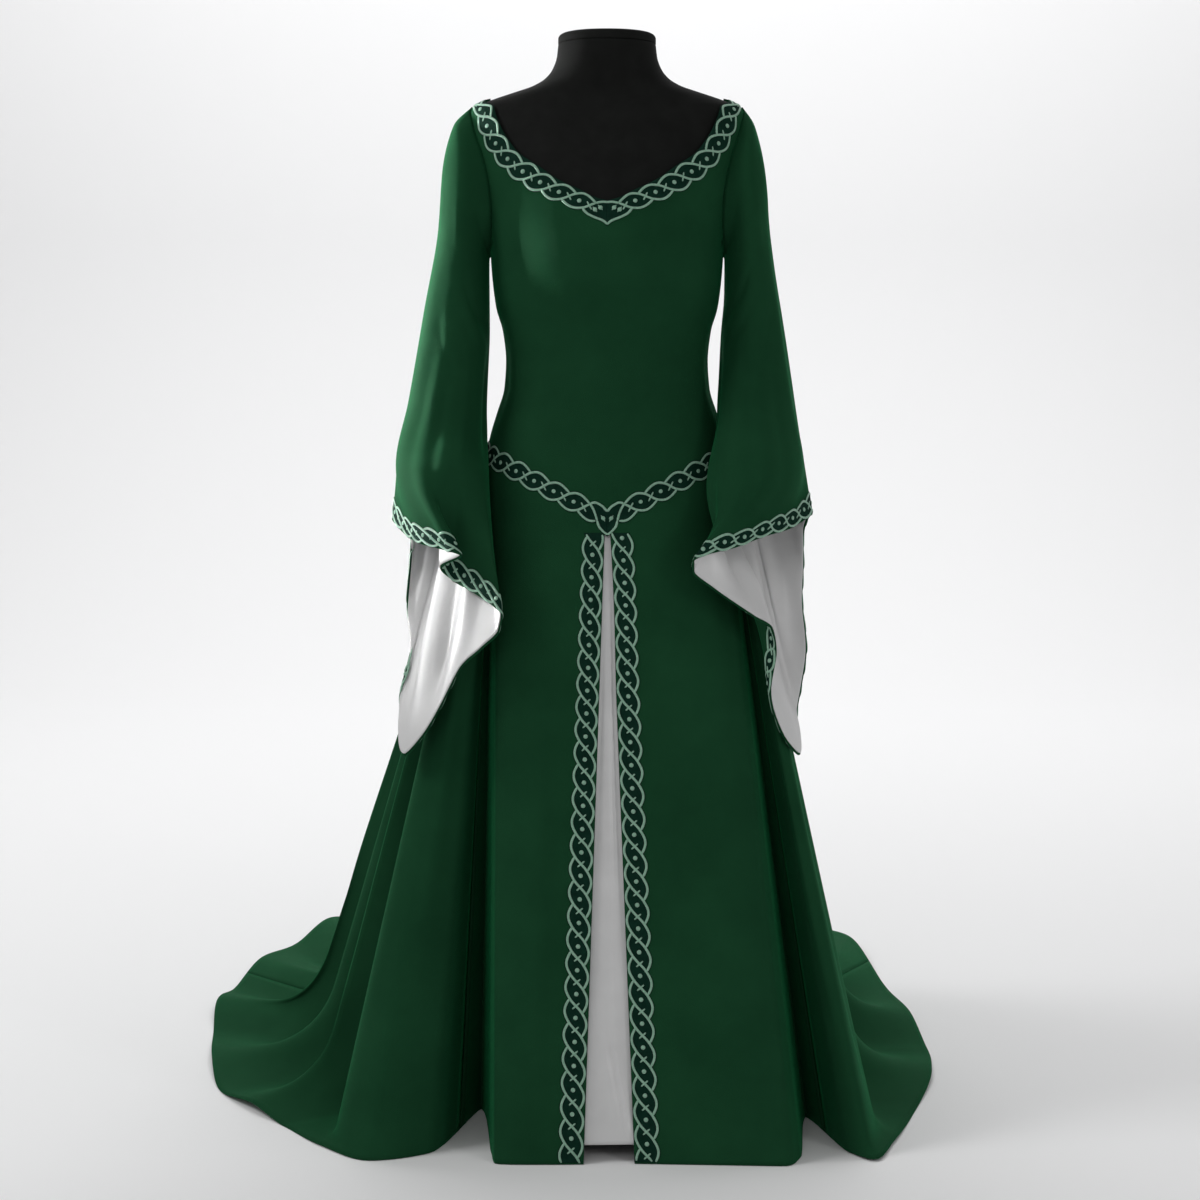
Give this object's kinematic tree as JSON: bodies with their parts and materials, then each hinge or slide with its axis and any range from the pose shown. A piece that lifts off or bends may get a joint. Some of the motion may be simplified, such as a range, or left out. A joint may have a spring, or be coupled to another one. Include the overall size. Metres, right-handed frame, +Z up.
{
  "type": "medieval costume dress on a limbless dress form",
  "caption": "Floor-length gown with V neck, girdle band, bell sleeves lined in satin, a slit over a satin inset and a spread train, worn by a dress form on a pole and base.",
  "frame": {"origin": "centre of the base's underside, on the floor, on the axis of the pole", "axes": "+Z up, -Y to the front of the dress, +X to the right of someone who looks at its front"},
  "size_m": [1.0893, 1.3522, 1.4413],
  "materials": {
    "crepe": "matt crepe, forest green",
    "satin": "off-white satin with a soft sheen",
    "band": "woven band, sage interlace on near-black green",
    "form": "black, smooth and matt",
    "stand": "black powder coat"
  },
  "bodies": {
    "root": {"bodice_back_left": "crepe", "bodice_back_right": "crepe", "bodice_front": "crepe", "form_base": "stand", "form_neck_cap": "form", "form_pole": "stand", "form_torso": "form", "satin_inset": "satin", "skirt_back_left": "crepe", "skirt_back_right": "crepe", "skirt_front_left": "crepe", "skirt_front_right": "crepe", "skirt_side_left": "crepe", "skirt_side_right": "crepe", "sleeve_left": "crepe", "sleeve_lining_left": "satin", "sleeve_lining_right": "satin", "sleeve_right": "crepe", "trim_front_left": "band", "trim_front_right": "band", "trim_girdle": "band", "trim_neck_back": "band", "trim_neck_front": "band", "trim_sleeve_left": "band", "trim_sleeve_right": "band"}
  },
  "joints": []
}
